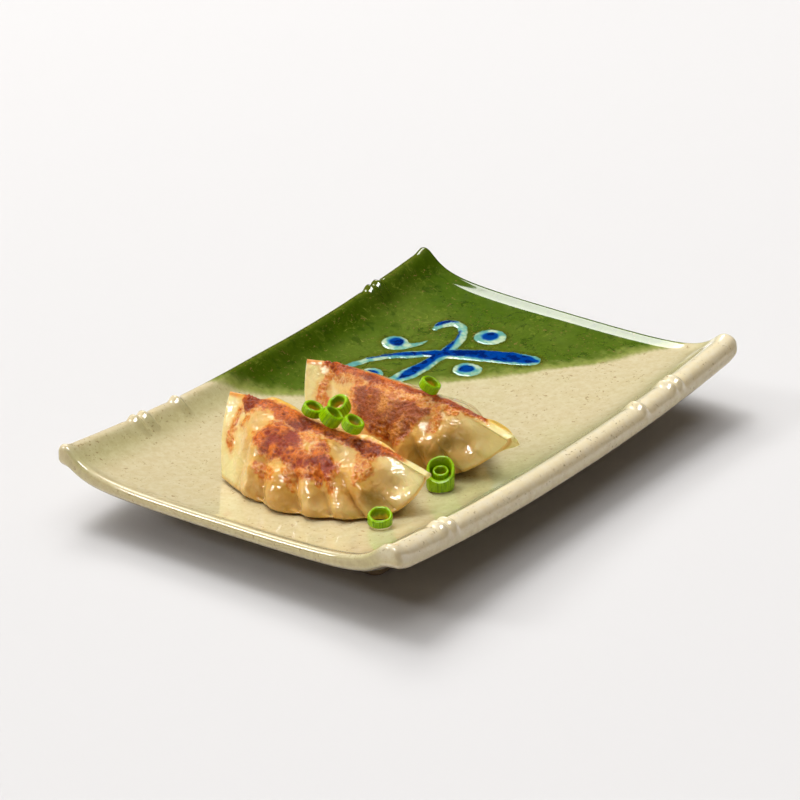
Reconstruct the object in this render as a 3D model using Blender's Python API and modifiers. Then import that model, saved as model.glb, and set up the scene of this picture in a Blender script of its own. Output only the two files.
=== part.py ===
"""Two pan-fried dumplings with spring onion rings on a rectangular stoneware plate.

Units are metres and +Z is up. The origin is on the table under the middle of the plate, +X runs along the
plate's length, and the dumplings' browned faces look towards -X.
"""
import math
from typing import NamedTuple

import bmesh
import bpy
import numpy as np
from mathutils import Matrix, Vector

MM = 0.001
CLEARANCE = 0.3 * MM

# Plate: a curved stoneware slab with two rolled long rims and a rectangular foot
PLATE_LENGTH = 190.4 * MM
PLATE_WIDTH = 127.4 * MM
PLATE_MIDDLE_HEIGHT = 12 * MM
PLATE_THICKNESS = 4.4 * MM
PLATE_SAG = 5.3 * MM
PLATE_SAG_POWER = 2.2
PLATE_TWIST = 1.3 * MM  # two opposite corners stand this much higher, and the other two lower
RIM_RISE = 10.1 * MM
RIM_STEEP_REACH = 4.0 * MM
RIM_GENTLE_REACH = 11.0 * MM
RIM_CREST_INSET = 4.5 * MM
NEAR_ROLL_EXTRA = 2.1 * MM  # the rim on the -Y side has a wider roll
NEAR_DROP_EXTRA = 0.8 * MM
RIM_CREST_RADIUS = 2.2 * MM
RIM_ROLL_DROP = 2.6 * MM
RIM_UNDERSIDE_RISE = 6.6 * MM
END_LIP_REACH = 6 * MM
END_LIP_RISE = 1.0 * MM
PLATE_EDGE_RADIUS = 2.0 * MM
GRID_ALONG = 28
GRID_ACROSS = 22
GRID_SPREAD = 0.72  # below 1 puts more of the grid's lines on the rims
FOOT_LENGTH = 140 * MM
FOOT_WIDTH = 76 * MM
FOOT_WALL = 6 * MM

# Bamboo joints on the rims: places along X, the same on the opposite rim after half a turn
NODE_PLACES_FAR = (-61.9 * MM, -57.7 * MM, -42.0 * MM, 61.8 * MM, 65.7 * MM)
NODE_PLACES_NEAR = (-70.3 * MM, -66.5 * MM, 38.2 * MM, 56.0 * MM, 59.9 * MM)
NODE_RADIUS = 1.3 * MM
NODE_INNER_REACH = 10 * MM

# Dumplings, in millimetres: local X runs along the ridge from the square flap to the pointed tip, local Y to
# the front, and heights are above the table; the frill's height is above the plate
WRAPPER_THICKNESS = 2.4
FRONT_BULGE = 4.2
FOLD_HEIGHT = 3.8
FOLD_DEPTH = 2.1  # how far of that height lies behind the smooth skin
LOBE_REACH = 1.6
FLAP_BULGE = 1.3  # the flap's edge bows out this far at half its height
DENT_LENGTH = 0.055  # share of the ridge
DENT_HEIGHT = 0.17  # share of the height
PLATE_CONTACT_ROUNDING = 0.5
DUMPLING_RINGS = 42
DUMPLING_SIDES = 28


def smooth_step(value):
    """The 3u^2 - 2u^3 step, held at 0 and 1 outside the unit range."""
    held = np.clip(value, 0.0, 1.0)
    return held * held * (3.0 - 2.0 * held)


def smooth_max(first, second, width):
    """The larger of two values, rounded over the given width where they cross."""
    return 0.5 * (first + second + np.sqrt((first - second) ** 2 + width * width))


def spline(points, place):
    """A point on the smooth curve through a few points, with place from 0 at the first to 1 at the last."""
    table = np.asarray(points, float)
    last = len(table) - 1
    scaled = min(max(place, 0.0), 1.0) * last
    index = min(int(scaled), last - 1)
    part = scaled - index
    before = table[index - 1] if index else 2 * table[0] - table[1]
    after = table[index + 2] if index + 2 <= last else 2 * table[last] - table[last - 1]
    start, end = table[index], table[index + 1]
    return 0.5 * (
        2 * start
        + (end - before) * part
        + (2 * before - 5 * start + 4 * end - after) * part**2
        + (3 * start - before - 3 * end + after) * part**3
    )


def near_share(y):
    """1 on the -Y half of the plate and 0 on the other, eased over its middle."""
    return float(smooth_step(0.5 - y / (60 * MM)))


def crest_inset(y):
    """How far a rim's crest lies inside the plate's edge."""
    return RIM_CREST_INSET + NEAR_ROLL_EXTRA * near_share(y)


def rim_share(y):
    """Close to 0 on the plate's flat middle and 1 at the crest of a long rim, steeper near the crest."""
    inside = PLATE_WIDTH / 2 - crest_inset(y) - abs(y)
    away = 0.5 * (inside + math.sqrt(inside * inside + RIM_CREST_RADIUS**2))
    return 0.5 * (math.exp(-away / RIM_STEEP_REACH) + math.exp(-away / RIM_GENTLE_REACH))


def lengthwise_rise(x):
    """The slab's curve along its length, with a small lip at each end."""
    half = PLATE_LENGTH / 2
    lip = END_LIP_RISE * smooth_step((abs(x) - half + END_LIP_REACH) / END_LIP_REACH)
    return PLATE_SAG * abs(x / half) ** PLATE_SAG_POWER + lip


def twist(x, y):
    """The slight warp of a hand-made plate, which leaves its foot level."""
    return PLATE_TWIST * (2 * x / PLATE_LENGTH) * (2 * y / PLATE_WIDTH)


def plate_top(x, y):
    """Height of the plate's upper face."""
    inset = crest_inset(y)
    beyond = min(max((abs(y) - PLATE_WIDTH / 2 + inset) / inset, 0.0), 1.0)
    drop = RIM_ROLL_DROP + NEAR_DROP_EXTRA * near_share(y)
    roll = drop * (1 - math.sqrt(1 - 0.96 * beyond * beyond)) / 0.8
    return PLATE_MIDDLE_HEIGHT + lengthwise_rise(x) + twist(x, y) + RIM_RISE * rim_share(y) - roll


def plate_underside(x, y):
    """Height of the plate's lower face."""
    middle = PLATE_MIDDLE_HEIGHT - PLATE_THICKNESS
    return middle + lengthwise_rise(x) + twist(x, y) + RIM_UNDERSIDE_RISE * rim_share(y)


def new_object(name, bm, collection):
    """Turn a bmesh into an object of the collection."""
    mesh = bpy.data.meshes.new(name)
    bm.to_mesh(mesh)
    bm.free()
    mesh.shade_smooth()
    thing = bpy.data.objects.new(name, mesh)
    collection.objects.link(thing)
    return thing


def new_collection(name):
    """Make a collection in the scene."""
    collection = bpy.data.collections.new(name)
    bpy.context.scene.collection.children.link(collection)
    return collection


def material(name, colour, roughness, coat=0.0, subsurface=0.0):
    """A Principled BSDF with one base colour."""
    made = bpy.data.materials.new(name)
    made.use_nodes = True
    shader = made.node_tree.nodes["Principled BSDF"]
    shader.inputs["Base Color"].default_value = (*colour, 1.0)
    shader.inputs["Roughness"].default_value = roughness
    shader.inputs["Metallic"].default_value = 0.0
    shader.inputs["Coat Weight"].default_value = coat
    shader.inputs["Subsurface Weight"].default_value = subsurface
    return made


def spread_to_rims(part):
    """Map an even grid place from -1 to 1 to one that is finer on the rims."""
    return math.copysign(abs(part) ** GRID_SPREAD, part)


def grid_block(along, across):
    """A closed block made of a grid and its extruded copy: its bmesh, first vertices and second vertices."""
    bm = bmesh.new()
    bmesh.ops.create_grid(bm, x_segments=along, y_segments=across, size=1.0)
    first = list(bm.verts)
    made = bmesh.ops.extrude_face_region(bm, geom=bm.faces[:])["geom"]
    second = [item for item in made if isinstance(item, bmesh.types.BMVert)]
    return bm, first, second


def plate_slab(collection):
    """The curved slab with its rolled rims, as a grid that is thickened downwards and rounded at its edge."""
    bm, lower, upper = grid_block(GRID_ALONG, GRID_ACROSS)
    for vert in bm.verts:
        vert.co.x = spread_to_rims(vert.co.x) * PLATE_LENGTH / 2
        vert.co.y = spread_to_rims(vert.co.y) * PLATE_WIDTH / 2
    for vert in lower:
        vert.co.z = plate_underside(vert.co.x, vert.co.y)
    for vert in upper:
        vert.co.z = plate_top(vert.co.x, vert.co.y)
    bmesh.ops.recalc_face_normals(bm, faces=bm.faces[:])
    slab = new_object("plate", bm, collection)
    rounding = slab.modifiers.new("rounded edge", "BEVEL")
    rounding.width = PLATE_EDGE_RADIUS
    rounding.segments = 3
    rounding.limit_method = "ANGLE"
    rounding.angle_limit = math.radians(44)
    return slab


def plate_foot(collection):
    """The rectangular foot under the slab and the block that opens its middle; its top ends inside the slab."""
    bm, lower, upper = grid_block(16, 8)
    for vert in bm.verts:
        vert.co.x *= FOOT_LENGTH / 2
        vert.co.y *= FOOT_WIDTH / 2
    for vert in lower:
        vert.co.z = 0.0
    for vert in upper:
        vert.co.z = plate_underside(vert.co.x, vert.co.y) + PLATE_THICKNESS / 2
    bmesh.ops.recalc_face_normals(bm, faces=bm.faces[:])
    foot = new_object("foot", bm, collection)
    rounding = foot.modifiers.new("rounded foot", "BEVEL")
    rounding.width = FOOT_WALL / 3
    rounding.segments = 2
    rounding.limit_method = "ANGLE"
    bm = bmesh.new()
    bmesh.ops.create_cube(bm, size=1.0)
    inner = (FOOT_LENGTH - 2 * FOOT_WALL, FOOT_WIDTH - 2 * FOOT_WALL, 4 * PLATE_MIDDLE_HEIGHT)
    bmesh.ops.scale(bm, vec=inner, verts=bm.verts)
    return foot, new_object("foot hollow", bm, collection)


def bamboo_joint(place, side, collection):
    """One raised joint that runs over a rim, from inside its crest to its outer edge."""
    outer = PLATE_WIDTH / 2
    steps = 9
    curve = bpy.data.curves.new("bamboo joint", "CURVE")
    curve.dimensions = "3D"
    line = curve.splines.new("POLY")
    line.points.add(steps - 1)
    for index, point in enumerate(line.points):
        part = index / (steps - 1)
        y = outer - NODE_INNER_REACH + part * (NODE_INNER_REACH - 0.6 * MM)
        sink = NODE_RADIUS * (0.25 + 1.1 * abs(2 * part - 1) ** 4)
        point.co = (place, side * y, plate_top(place, y) - sink, 1.0)
        point.radius = 0.45 + 0.55 * math.sin(math.pi * min(max(part, 0.04), 0.96))
    curve.bevel_depth = NODE_RADIUS
    curve.bevel_resolution = 2
    curve.use_fill_caps = True
    drawn = bpy.data.objects.new("bamboo joint curve", curve)
    collection.objects.link(drawn)
    bpy.context.view_layer.update()
    seen = drawn.evaluated_get(bpy.context.evaluated_depsgraph_get())
    mesh = bpy.data.meshes.new_from_object(seen)
    bpy.data.objects.remove(drawn)
    bm = bmesh.new()
    bm.from_mesh(mesh)
    bmesh.ops.remove_doubles(bm, verts=bm.verts[:], dist=0.01 * MM)
    bmesh.ops.recalc_face_normals(bm, faces=bm.faces[:])
    return new_object("bamboo joint", bm, collection)


def join_by_boolean(target, operand_collection, operation):
    """Apply one Boolean of a whole collection to the target, and remove the collection's objects."""
    step = target.modifiers.new(operation, "BOOLEAN")
    step.operand_type = "COLLECTION"
    step.collection = operand_collection
    step.operation = operation
    step.solver = "EXACT"
    bpy.context.view_layer.update()
    seen = target.evaluated_get(bpy.context.evaluated_depsgraph_get())
    mesh = bpy.data.meshes.new_from_object(seen)
    target.modifiers.clear()
    target.data = mesh
    for used in list(operand_collection.objects):
        bpy.data.objects.remove(used)


def largest_shell(thing):
    """Drop any loose scrap that a Boolean left beside the main body."""
    bm = bmesh.new()
    bm.from_mesh(thing.data)
    bm.verts.ensure_lookup_table()
    unseen = set(bm.verts)
    shells = []
    while unseen:
        shell, front = set(), [unseen.pop()]
        while front:
            vert = front.pop()
            shell.add(vert)
            for edge in vert.link_edges:
                other = edge.other_vert(vert)
                if other in unseen:
                    unseen.discard(other)
                    front.append(other)
        shells.append(shell)
    kept = max(shells, key=len)
    scrap = [vert for vert in bm.verts if vert not in kept]
    bmesh.ops.delete(bm, geom=scrap, context="VERTS")
    bmesh.ops.dissolve_degenerate(bm, edges=bm.edges[:], dist=0.005 * MM)
    bm.to_mesh(thing.data)
    bm.free()


def make_plate(parts, cutters):
    """The whole plate as one solid."""
    plate = plate_slab(parts)
    plate.data.materials.append(material("stoneware glaze", (0.66, 0.60, 0.42), 0.18, coat=0.4))
    foot, hollow = plate_foot(cutters)
    cut = foot.modifiers.new("open middle", "BOOLEAN")
    cut.object = hollow
    cut.operation = "DIFFERENCE"
    cut.solver = "EXACT"
    hollow.hide_render = True
    hollow.display_type = "WIRE"
    joined = new_collection("fused to plate")
    bpy.context.view_layer.update()
    seen = foot.evaluated_get(bpy.context.evaluated_depsgraph_get())
    ring = bpy.data.objects.new("foot ring", bpy.data.meshes.new_from_object(seen))
    joined.objects.link(ring)
    bpy.data.objects.remove(foot)
    bpy.data.objects.remove(hollow)
    for place in NODE_PLACES_FAR:
        bamboo_joint(place, 1, joined)
    for place in NODE_PLACES_NEAR:
        bamboo_joint(place, -1, joined)
    join_by_boolean(plate, joined, "UNION")
    bpy.data.collections.remove(joined)
    largest_shell(plate)
    plate.data.shade_smooth()
    plate.data.set_sharp_from_angle(angle=math.radians(50))
    return plate


class Dumpling:
    """Shape of one dumpling, in millimetres, in its local frame."""

    def __init__(self, name, origin, turn, ridge, frill, fullness, back, pleats, hollow):
        self.name = name
        self.origin = origin  # on the plate under the middle of the ridge
        self.turn = turn  # degrees from +X to the direction of the pointed tip
        self.ridge = ridge  # points (x, y, height over the table)
        self.frill = frill  # points (x, y, height over the plate)
        self.fullness = fullness  # where the filling starts, is full, stays full and ends, from 0 to 1
        self.back = back  # how far the filling bulges behind the wrapper's front, and how far down
        self.pleats = pleats  # places of the folds from 0 to 1
        self.hollow = hollow  # the dent beside the filling: place, height share, depth

    def filling(self, place):
        """0 where two wrapper layers are pressed together, and 1 over the filling."""
        starts, full, stays, ends = self.fullness
        return smooth_step((place - starts) / (full - starts)) * smooth_step((ends - place) / (ends - stays))

    def pleat(self, place):
        """Height of the folds from 0 in a valley to 1 on a lobe, steeper on one side."""
        edges = (0.0, *self.pleats, 1.0)
        for start, end in zip(edges, edges[1:]):
            if place <= end:
                part = (place - start) / (end - start)
                return math.sin(math.pi * part**0.8) ** 0.75
        return 0.0

    def world(self, x, y):
        """Plan position on the plate, in metres."""
        angle = math.radians(self.turn)
        along = Vector((math.cos(angle), math.sin(angle)))
        front = Vector((math.sin(angle), -math.cos(angle)))
        return Vector(self.origin) * MM + along * x * MM + front * y * MM

    def point(self, place, around):
        """A point of the skin: place runs from the flap to the tip, around from the frill over the front."""
        ridge = Vector(spline(self.ridge, place))
        frill = Vector(spline(self.frill, place))
        spot = self.world(frill.x, frill.y)
        frill.z += plate_top(spot.x, spot.y) / MM
        share = (1 - math.cos(around)) / 2
        side = math.sin(around)
        chord = ridge - frill
        outward = Vector((0.0, chord.z, -chord.y)).normalized()
        fill = self.filling(place)
        half_wall = WRAPPER_THICKNESS / 2
        spine = frill + chord * share
        if side >= 0:
            bulge = FRONT_BULGE * fill * math.sin(math.pi * min(share * 1.02, 1.0)) ** 0.8
            low = smooth_step((0.62 - share) / 0.5) * smooth_step(share / 0.06 + 0.3)
            folds = (FOLD_HEIGHT * self.pleat(place) - FOLD_DEPTH) * low * fill
            dent_place, dent_height, dent_depth = self.hollow
            away = ((place - dent_place) / DENT_LENGTH) ** 2 + ((share - dent_height) / DENT_HEIGHT) ** 2
            dent = dent_depth * math.exp(-away)
            skin = spine + outward * (half_wall * side**0.5 + bulge + folds - dent)
        else:
            depth = math.sin(math.pi * share) ** 0.85 * fill
            back, down = self.back
            skin = spine - outward * (half_wall * (-side) ** 0.5)
            skin.y -= back * depth
            skin.z -= down * depth * (1 - share)
        skin.x -= FLAP_BULGE * math.sin(math.pi * share) * (1 - smooth_step(place / 0.16))
        skin.y += LOBE_REACH * (self.pleat(place) - 0.6) * fill * (1 - smooth_step(share / 0.16))
        spot = self.world(skin.x, skin.y)
        floor = (plate_top(spot.x, spot.y) + CLEARANCE) / MM
        height = smooth_max(skin.z, floor, PLATE_CONTACT_ROUNDING) * MM
        return Vector((spot.x, spot.y, height))


FRONT_DUMPLING = Dumpling(
    name="dumpling_front",
    origin=(-49.9, -6.3),
    turn=-85.4,
    ridge=[
        (-36.3, 0.0, 36.3),
        (-24.7, 0.0, 36.2),
        (-11.1, 0.2, 34.4),
        (3.0, 0.3, 31.9),
        (18.8, 0.0, 30.5),
        (35.2, 0.0, 26.5),
    ],
    frill=[
        (-29.5, 15.4, 0.8),
        (-16.5, 22.3, 0.8),
        (-1.3, 26.2, 0.8),
        (12.0, 24.2, 0.8),
        (24.4, 16.4, 0.8),
        (31.4, 7.6, 4.2),
        (34.4, 1.2, 11.0),
    ],
    fullness=(0.07, 0.24, 0.64, 0.90),
    back=(21.6, 15.0),
    pleats=(0.14, 0.26, 0.41, 0.52, 0.62, 0.74),
    hollow=(0.79, 0.33, 2.6),
)

BACK_DUMPLING = Dumpling(
    name="dumpling_back",
    origin=(-18.0, -13.3),
    turn=-87.3,
    ridge=[
        (-38.9, 0.0, 36.2),
        (-27.0, 0.0, 37.5),
        (-11.8, 0.0, 36.2),
        (6.4, 0.0, 35.0),
        (20.0, 0.0, 33.4),
        (37.6, 0.0, 28.9),
    ],
    frill=[
        (-32.0, 8.6, 0.8),
        (-19.0, 12.8, 0.8),
        (-4.0, 13.8, 0.8),
        (9.0, 12.4, 0.8),
        (20.0, 7.0, 1.6),
        (29.0, 2.2, 6.6),
        (36.4, 0.8, 13.2),
    ],
    fullness=(0.13, 0.32, 0.62, 0.90),
    back=(21.0, 9.0),
    pleats=(0.17, 0.29, 0.43, 0.55, 0.67, 0.80),
    hollow=(0.76, 0.42, 2.4),
)


def make_dumpling(shape, dough, collection):
    """A sphere whose rings become the dumpling's sections from the flap to the tip."""
    bm = bmesh.new()
    bmesh.ops.create_uvsphere(bm, u_segments=DUMPLING_SIDES, v_segments=DUMPLING_RINGS, radius=1.0)
    ring_step = 1 / DUMPLING_RINGS
    for vert in bm.verts:
        polar = math.acos(max(-1.0, min(1.0, vert.co.z))) / math.pi
        place = (polar - ring_step) / (1 - 2 * ring_step)
        if polar < ring_step / 2 or polar > 1 - ring_step / 2:
            end = 0.0 if polar < 0.5 else 1.0
            vert.co = 0.5 * (shape.point(end, math.pi / 2) + shape.point(end, -math.pi / 2))
        else:
            around = math.atan2(vert.co.y, vert.co.x) + math.pi / DUMPLING_SIDES
            vert.co = shape.point(place, around)
    if bm.calc_volume(signed=True) < 0:
        bmesh.ops.reverse_faces(bm, faces=bm.faces[:])
    dumpling = new_object(shape.name, bm, collection)
    dumpling.data.materials.append(dough)
    return dumpling


class OnionRing(NamedTuple):
    """A short cut of a hollow leaf, in millimetres."""

    name: str
    middle: tuple
    axis: tuple
    radius: float
    wall: float
    length: float
    slant: float = 0.0  # how much higher the cut end stands behind than in front, at its rim


ONION_RINGS = (
    OnionRing("onion_ridge_left", (-49.4, 1.1, 36.7), (0.11, -0.37, 0.92), 3.25, 1.25, 2.8),
    OnionRing("onion_ridge_middle", (-50.4, -6.6, 36.6), (0.30, -0.50, 0.81), 3.35, 1.25, 4.0),
    OnionRing("onion_ridge_right", (-50.7, -14.8, 36.6), (0.14, -0.43, 0.89), 3.35, 1.25, 3.3),
    OnionRing("onion_ridge_long", (-40.6, -2.4, 35.3), (-0.42, 0.07, 0.90), 3.4, 1.2, 4.0),
    OnionRing("onion_back", (-17.5, -19.5, 38.3), (0.22, -0.41, 0.88), 3.35, 1.1, 2.9),
    OnionRing("onion_between", (-32.3, -33.9, 0.0), (0, 0, 1), 4.4, 0.95, 6.0, 2.5),
    OnionRing("onion_between_small", (-31.9, -33.6, 2.2), (0, 0, 1), 2.5, 0.8, 3.4, 0.6),
    OnionRing("onion_front", (-66.5, -36.2, 0.0), (0, 0, 1), 3.65, 0.9, 3.2, 0.9),
)
ONION_SEGMENTS = 20
ONION_EDGE = 0.22 * MM
UPRIGHT = (0, 0, 1)
BEHIND = Vector((0.81, 0.59))  # away from the side that the photograph shows


def onion_middle(ring):
    """A ring's middle in metres; an upright ring's height is counted from the plate under it."""
    x, y, z = (value * MM for value in ring.middle)
    if ring.axis != UPRIGHT:
        return Vector((x, y, z))
    steps = [2 * math.pi * index / ONION_SEGMENTS for index in range(ONION_SEGMENTS)]
    reach = ring.radius * MM
    under = max(plate_top(x + reach * math.cos(turn), y + reach * math.sin(turn)) for turn in steps)
    return Vector((x, y, under + CLEARANCE + z + ring.length * MM / 2))


def make_onion_ring(ring, green, collection):
    """A ring of leaf, a little oval: an open tube thickened inwards, its upper end cut at a slant."""
    bm = bmesh.new()
    bmesh.ops.create_cone(
        bm,
        cap_ends=False,
        segments=ONION_SEGMENTS,
        radius1=ring.radius * MM,
        radius2=ring.radius * MM,
        depth=ring.length * MM,
    )
    bmesh.ops.scale(bm, vec=(1.03, 0.97, 1.0), verts=bm.verts)
    for vert in bm.verts:
        if vert.co.z > 0:
            vert.co.z += ring.slant * vert.co.xy.dot(BEHIND) / ring.radius
    bmesh.ops.recalc_face_normals(bm, faces=bm.faces[:])
    leaf = new_object(ring.name, bm, collection)
    leaf.data.materials.append(green)
    shell = leaf.modifiers.new("leaf wall", "SOLIDIFY")
    shell.thickness = ring.wall * MM
    shell.offset = -1.0
    rounding = leaf.modifiers.new("cut edge", "BEVEL")
    rounding.width = ONION_EDGE
    rounding.segments = 1
    rounding.limit_method = "ANGLE"
    rounding.angle_limit = math.radians(50)
    tilt = Vector(UPRIGHT).rotation_difference(Vector(ring.axis).normalized())
    leaf.matrix_world = Matrix.Translation(onion_middle(ring)) @ tilt.to_matrix().to_4x4()
    return leaf


def main():
    """Clear the scene and build every piece."""
    for old in list(bpy.data.objects):
        bpy.data.objects.remove(old)
    parts = new_collection("plated dumplings")
    cutters = new_collection("cutters")
    make_plate(parts, cutters)
    dough = material("fried wrapper", (0.80, 0.60, 0.30), 0.30, coat=0.3, subsurface=0.2)
    for shape in (FRONT_DUMPLING, BACK_DUMPLING):
        make_dumpling(shape, dough, parts)
    green = material("spring onion", (0.16, 0.42, 0.03), 0.30)
    for ring in ONION_RINGS:
        make_onion_ring(ring, green, parts)


main()
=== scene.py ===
"""The look of two pan-fried dumplings with spring onion rings on a glazed stoneware plate.

The frame is in metres and +Z is up. Shapes are worked out in millimetres and scaled by MM. The forms of
the plate, the dumplings and the rings repeat the measures of the solids that they replace, with many more
faces.
"""
import math
from types import SimpleNamespace
from typing import NamedTuple

import bmesh
import bpy
import numpy as np
from mathutils import Matrix, Vector

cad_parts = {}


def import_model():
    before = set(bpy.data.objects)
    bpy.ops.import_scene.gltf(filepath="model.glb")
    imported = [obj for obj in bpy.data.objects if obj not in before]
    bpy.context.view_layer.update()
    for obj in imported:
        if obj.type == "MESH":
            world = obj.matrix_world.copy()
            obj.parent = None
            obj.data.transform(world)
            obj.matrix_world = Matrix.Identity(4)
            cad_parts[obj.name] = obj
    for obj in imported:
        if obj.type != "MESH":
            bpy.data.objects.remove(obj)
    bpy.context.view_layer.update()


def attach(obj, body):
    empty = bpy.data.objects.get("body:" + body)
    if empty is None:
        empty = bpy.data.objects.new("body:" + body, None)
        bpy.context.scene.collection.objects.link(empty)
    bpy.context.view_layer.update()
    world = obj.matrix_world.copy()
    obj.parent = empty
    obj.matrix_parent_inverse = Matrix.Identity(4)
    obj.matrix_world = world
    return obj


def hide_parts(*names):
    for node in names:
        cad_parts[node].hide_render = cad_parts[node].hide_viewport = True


MM = 0.001
CLEARANCE = 0.3
FAR_AWAY = 1e9

# Plate, in millimetres
PLATE_LENGTH = 190.4
PLATE_WIDTH = 127.4
PLATE_MIDDLE_HEIGHT = 12
PLATE_THICKNESS = 4.4
PLATE_SAG = 5.3
PLATE_SAG_POWER = 2.2
PLATE_TWIST = 1.3
PLATE_EDGE_RADIUS = 2.0
END_LIP_REACH = 6
END_LIP_RISE = 1.0
RIM_RISE = 10.1
RIM_STEEP_REACH = 4.0
RIM_GENTLE_REACH = 11.0
RIM_CREST_INSET = 4.5
RIM_CREST_RADIUS = 2.2
RIM_ROLL_DROP = 2.6
RIM_ROLL_ARC = 0.96
RIM_UNDERSIDE_RISE = 6.6
NEAR_ROLL_EXTRA = 2.1
NEAR_DROP_EXTRA = 0.8
NEAR_EASE_WIDTH = 60
HAND_WAVE = 0.14
HAND_RIPPLE = 0.008
FOOT_LENGTH = 140
FOOT_WIDTH = 76
FOOT_WALL = 6
FOOT_CORNER = 4.0
FOOT_ROUNDING = ((0.0, 1.8), (0.3, 0.8), (0.9, 0.2), (1.8, 0.0))  # (inward, height) of its lower edge
FOOT_OVERLAP = 1.2
FOOT_STEP = 3
FOOT_CORNER_STEPS = 8

# The bamboo joints over the rims, in millimetres
NODE_PLACES_FAR = (-61.9, -57.7, -42.0, 61.8, 65.7)
NODE_PLACES_NEAR = (-70.3, -66.5, 38.2, 56.0, 59.9)
NODE_HALF_WIDTH = 1.35
NODE_HEIGHT = 1.25
NODE_INNER_REACH = 10
NODE_EASE = 4.0
NODE_GROOVE_DEPTH = 0.16
NODE_GROOVE_PLACE = 2.1

# Dumplings, in millimetres, with places and heights as shares of the ridge and of the chord
WRAPPER_THICKNESS = 2.4
FRONT_BULGE = 4.2
FOLD_HEIGHT = 3.8
FOLD_DEPTH = 2.1
LOBE_REACH = 1.6
FLAP_BULGE = 1.3
END_THINNING = 0.016
LIP_RISE = 1.7
LIP_HEIGHT = 0.955
LIP_SPREAD = 0.03
TIP_ROUNDING = 1.0
TIP_START = 0.93
LAYER_START = 0.83
CURL_REACH = 1.2
CURL_START = 0.74
CURL_DROP = 1.1
CURL_SPREAD = 0.9
PLEAT_SLANT = 0.5
HOLLOW_LENGTH = 0.055
HOLLOW_HEIGHT = 0.17
DUMPLING_PLACES = 330
FRONT_STEPS = 160
BACK_STEPS = 106
RIDGE_SCALE = 72.0
CHORD_SCALE = 27.0

HASH_FACTORS = (73856093, 19349663, 83492791, 40503)
HASH_SCRAMBLES = (1274126177, 2246822519)
HASH_BITS = 0xFFFFFFFF
VALUE_BITS = 0xFFFF
SEED_STEP = 17
NOISE_GAIN = 1.5


def srgb(red, green, blue):
    """Linear colour from the 0 to 255 values that a screen shows."""
    value = np.array((red, green, blue), float) / 255
    return np.where(value <= 0.04045, value / 12.92, ((value + 0.055) / 1.055) ** 2.4)


def painted(colours, *layers):
    """Colours with (colour, share) layers laid over them in order, a share from 0 to 1 for each point."""
    for other, share in layers:
        share = np.clip(share, 0.0, 1.0)[:, None]
        colours = colours * (1 - share) + other * share
    return colours


def ease(value):
    """The 3u^2 - 2u^3 step, held at 0 and 1 outside the unit range."""
    held = np.clip(value, 0.0, 1.0)
    return held * held * (3.0 - 2.0 * held)


def smooth_max(first, second, width):
    """The larger of two values, rounded over the given width where they cross."""
    return 0.5 * (first + second + np.sqrt((first - second) ** 2 + width * width))


def hump(*away):
    """A bell that is 1 where every scaled distance is 0."""
    return np.exp(-sum(distance * distance for distance in away))


def lattice_value(place, seed):
    """A repeatable value from 0 to 1 for each whole-number lattice point."""
    mix = seed * HASH_FACTORS[3]
    for axis in range(3):
        mix = mix ^ (place[:, axis] * HASH_FACTORS[axis])
    mix = ((mix & HASH_BITS) ^ ((mix & HASH_BITS) >> 13)) * HASH_SCRAMBLES[0] & HASH_BITS
    mix = (mix ^ (mix >> 16)) * HASH_SCRAMBLES[1] & HASH_BITS
    return ((mix >> 8) & VALUE_BITS) / VALUE_BITS


def value_noise(points, cell, seed):
    """Smooth noise from -1 to 1 with bumps about one cell wide."""
    scaled = points / cell
    base = np.floor(scaled).astype(np.int64)
    part = ease(scaled - base)
    total = np.zeros(len(points))
    for corner in np.ndindex(2, 2, 2):
        offset = np.array(corner)
        weight = np.prod(np.where(offset, part, 1 - part), axis=1)
        total += weight * lattice_value(base + offset, seed)
    return 2 * total - 1


def noise(points, cell, octaves, seed):
    """A few octaves of smooth noise, from about -1 to 1."""
    total = np.zeros(len(points))
    for octave in range(octaves):
        total += 0.5**octave * value_noise(points, cell / 2**octave, seed + SEED_STEP * octave)
    return total / (2 - 0.5 ** (octaves - 1)) * NOISE_GAIN


def spline(points, place):
    """Points on the smooth curve through a few points, with place from 0 at the first to 1 at the last."""
    table = np.asarray(points, float)
    last = len(table) - 1
    scaled = np.clip(place, 0.0, 1.0) * last
    index = np.minimum(scaled.astype(int), last - 1)
    part = (scaled - index)[:, None]
    padded = np.vstack([2 * table[0] - table[1], table, 2 * table[-1] - table[-2]])
    before, start, end, after = (padded[index + step] for step in range(4))
    return 0.5 * (
        2 * start
        + (end - before) * part
        + (2 * before - 5 * start + 4 * end - after) * part**2
        + (3 * start - before - 3 * end + after) * part**3
    )


def segment_distance(x, y, start, end):
    """Distance to a straight segment, and where along it the nearest place is, from 0 to 1."""
    (ax, ay), (bx, by) = start[:2], end[:2]
    length = (bx - ax) ** 2 + (by - ay) ** 2
    part = np.clip(((x - ax) * (bx - ax) + (y - ay) * (by - ay)) / length, 0, 1)
    return np.hypot(x - ax - part * (bx - ax), y - ay - part * (by - ay)), part


def nearest_stroke(x, y, strokes):
    """Signed distance to the nearest brush stroke of points (x, y, half width), negative inside it."""
    best = np.full(len(x), FAR_AWAY)
    for stroke in strokes:
        for start, end in zip(stroke, stroke[1:]):
            away, part = segment_distance(x, y, start, end)
            best = np.minimum(best, away - start[2] - part * (end[2] - start[2]))
    return best


def outline_distance(x, y, corners):
    """Signed distance to a closed outline, negative inside it."""
    best = np.full(len(x), FAR_AWAY)
    inside = np.zeros(len(x), bool)
    for (ax, ay), (bx, by) in zip(corners, corners[1:] + corners[:1]):
        best = np.minimum(best, segment_distance(x, y, (ax, ay), (bx, by))[0])
        if ay != by:
            crosses = (ay > y) != (by > y)
            inside ^= crosses & (x < ax + (y - ay) * (bx - ax) / (by - ay))
    return np.where(inside, -best, best)


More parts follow.
